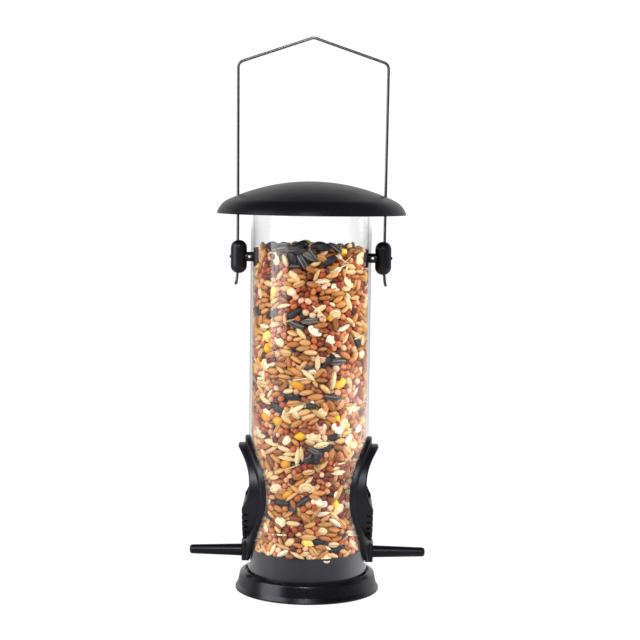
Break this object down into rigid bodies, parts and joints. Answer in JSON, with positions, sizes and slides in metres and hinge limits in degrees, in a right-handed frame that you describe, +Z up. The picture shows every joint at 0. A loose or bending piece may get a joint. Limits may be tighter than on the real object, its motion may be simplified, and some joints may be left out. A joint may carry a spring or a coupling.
{
  "type": "hanging tube bird feeder",
  "caption": "Hanging bird feeder: clear seed tube with feeding ports and perches, a base, a domed lid that slides up its wire bail handle.",
  "frame": {"origin": "middle of the base ring's underside, on the surface that the feeder stands on", "axes": "+Z up along the tube; the two ports, perches and handle lugs lie along X; +Y is the back"},
  "size_m": [0.1386, 0.1098, 0.3214],
  "materials": {
    "clear_tube": "clear, polished",
    "gloss_black": "gloss",
    "dark_grey": "satin",
    "port_black": "satin",
    "perch_black": "satin",
    "lid_black": "satin",
    "lug_black": "satin gloss",
    "handle_steel": "polished",
    "screw_steel": "zinc plated",
    "seed_mix": "dry mixed seed"
  },
  "bodies": {
    "feeder": {"tube": "clear_tube", "base_ring": "gloss_black", "base_cup": "dark_grey", "base_screw": "screw_steel", "handle_wire": "handle_steel", "seed_fill": "seed_mix", "port_shroud_left": "port_black", "port_shroud_right": "port_black", "port_baffle_left": "port_black", "port_baffle_right": "port_black", "perch_left": "perch_black", "perch_right": "perch_black", "perch_nut_left": "gloss_black", "perch_nut_right": "gloss_black", "handle_lug_left": "lug_black", "handle_lug_right": "lug_black", "lug_pin_left": "lug_black", "lug_pin_right": "lug_black", "lug_washer_left": "gloss_black", "lug_washer_right": "gloss_black"},
    "lid": {"lid": "lid_black"}
  },
  "joints": [
    {"name": "lid_slide", "type": "slide", "parent": "feeder", "child": "lid", "axis": [0, 0, 1], "range_m": [0, 0.07]}
  ]
}
